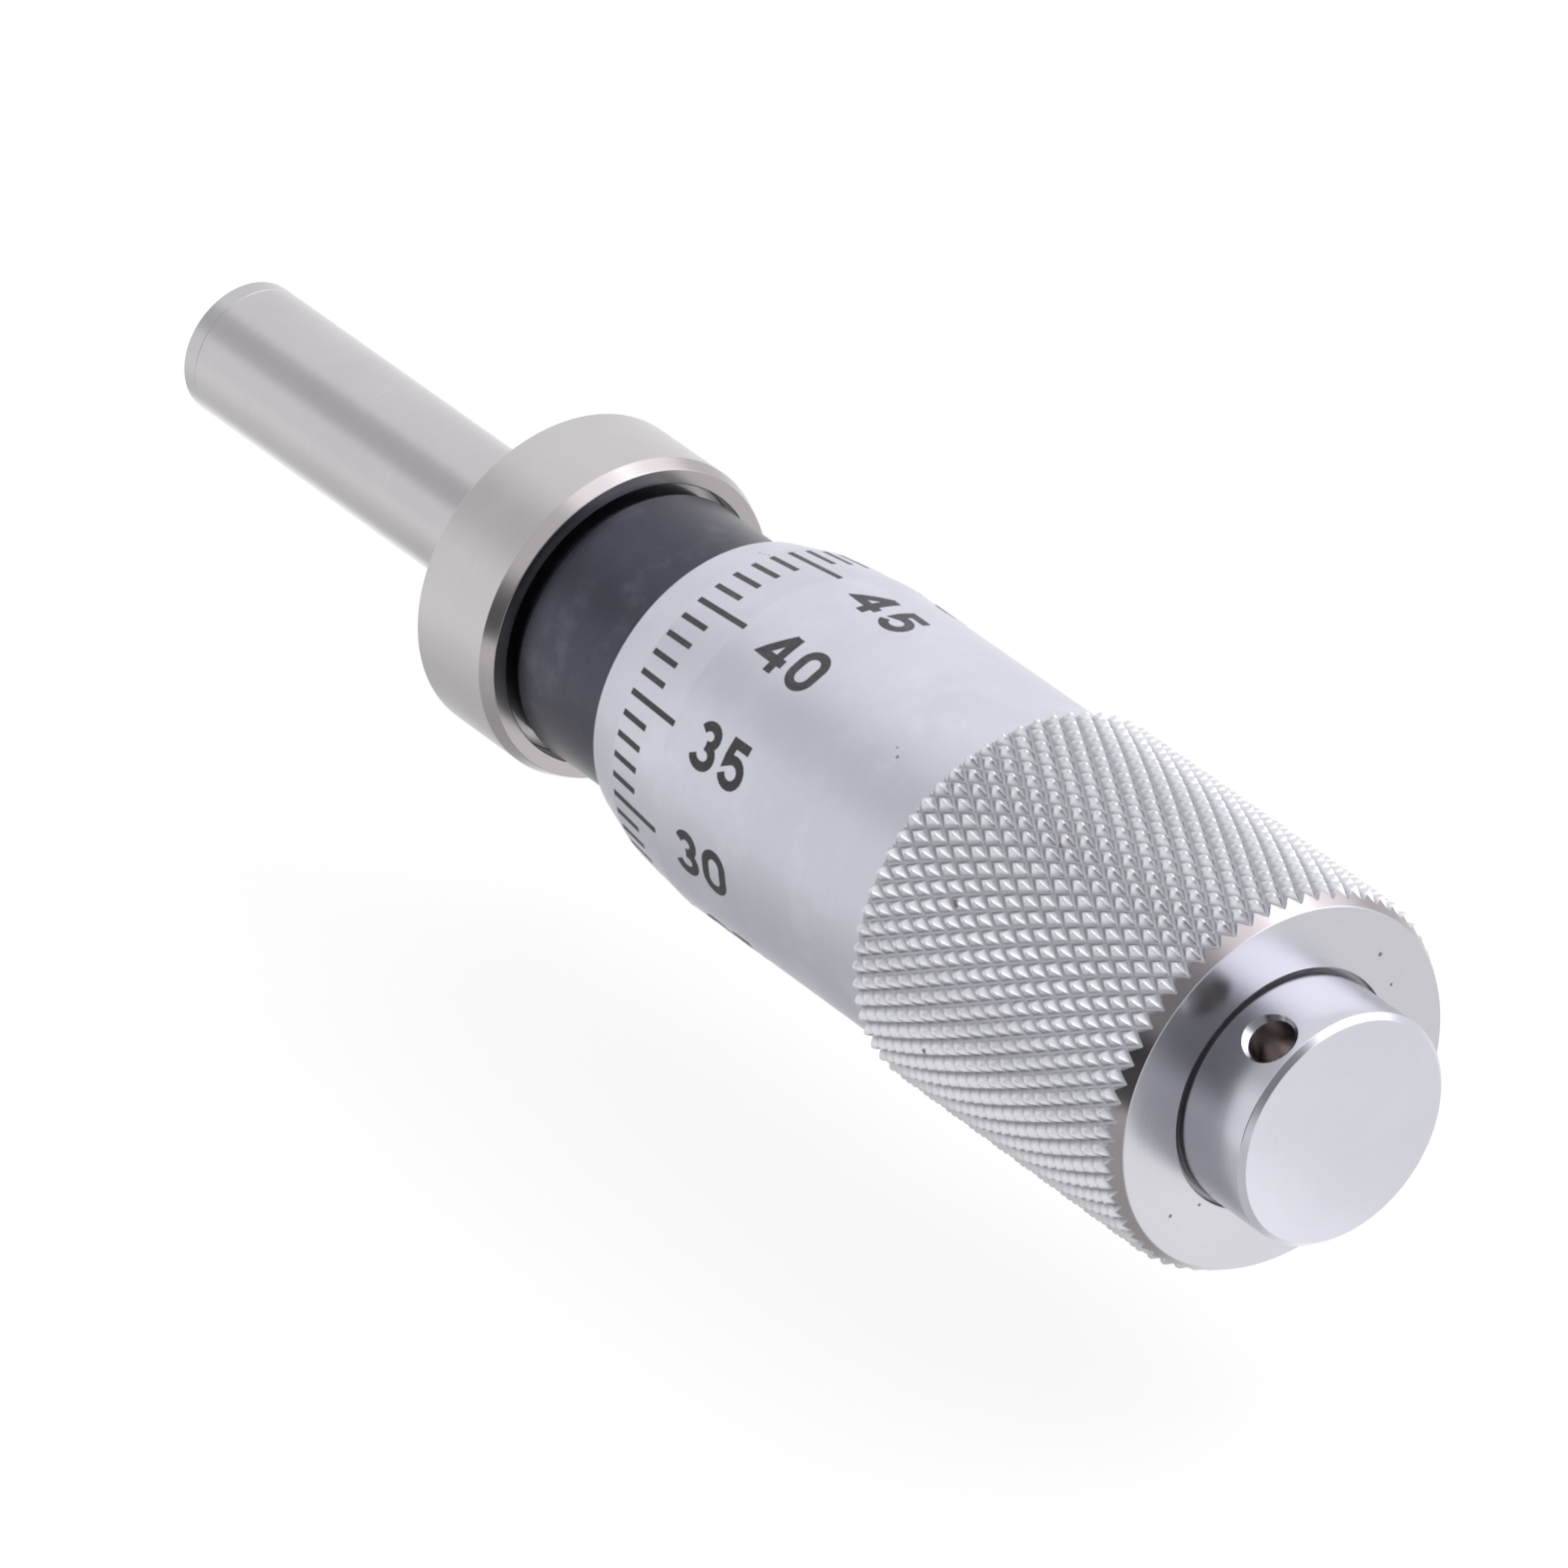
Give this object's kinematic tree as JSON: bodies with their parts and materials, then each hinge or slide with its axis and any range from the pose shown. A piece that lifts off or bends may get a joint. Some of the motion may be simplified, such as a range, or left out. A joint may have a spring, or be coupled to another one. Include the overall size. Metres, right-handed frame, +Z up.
{
  "type": "micrometer head",
  "caption": "Plain micrometer head with a mounting collar, graduated thimble with a diamond knurl and a cap with a spanner hole; turning the thimble drives the spindle.",
  "frame": {"origin": "centre of the mounting collar's front face, on the screw's axis", "axes": "+X along the screw's axis from the collar to the thimble and the cap, so the measuring tip points to -X; +Z up; +Y to the side that carries the sleeve's index line"},
  "size_m": [0.0792, 0.018, 0.018],
  "materials": {
    "collar_steel": "fine turned satin, slightly warm",
    "stem_steel": "ground",
    "sleeve_dark": "satin blue-black",
    "nut_steel": "turned",
    "tip_carbide": "lapped",
    "spindle_steel": "ground satin",
    "thimble_chrome": "satin chrome",
    "cap_chrome": "satin chrome"
  },
  "bodies": {
    "fixed_stem": {"mounting_collar": "collar_steel", "stem": "stem_steel", "adjusting_nut": "nut_steel"},
    "sleeve": {"graduated_sleeve": "sleeve_dark"},
    "tip": {"measuring_tip": "tip_carbide"},
    "screw": {"spindle": "spindle_steel", "thimble": "thimble_chrome", "setting_cap": "cap_chrome"}
  },
  "joints": [
    {"name": "spindle_travel", "type": "slide", "parent": "fixed_stem", "child": "tip", "axis": [1, 0, 0], "range_m": [-0.00506, 0.01994]},
    {"name": "thimble_turn", "type": "hinge", "parent": "tip", "child": "screw", "pos_m": [0, 0, 0], "axis": [1, 0, 0], "range_deg": [-3644.2, 14357.8]},
    {"name": "sleeve_zero_setting", "type": "hinge", "parent": "fixed_stem", "child": "sleeve", "pos_m": [0, 0, 0], "axis": [1, 0, 0], "range_deg": [-15, 15]}
  ],
  "couplings": [
    {"joint": "thimble_turn", "follows": "spindle_travel", "rad_per_m": 12566}
  ]
}
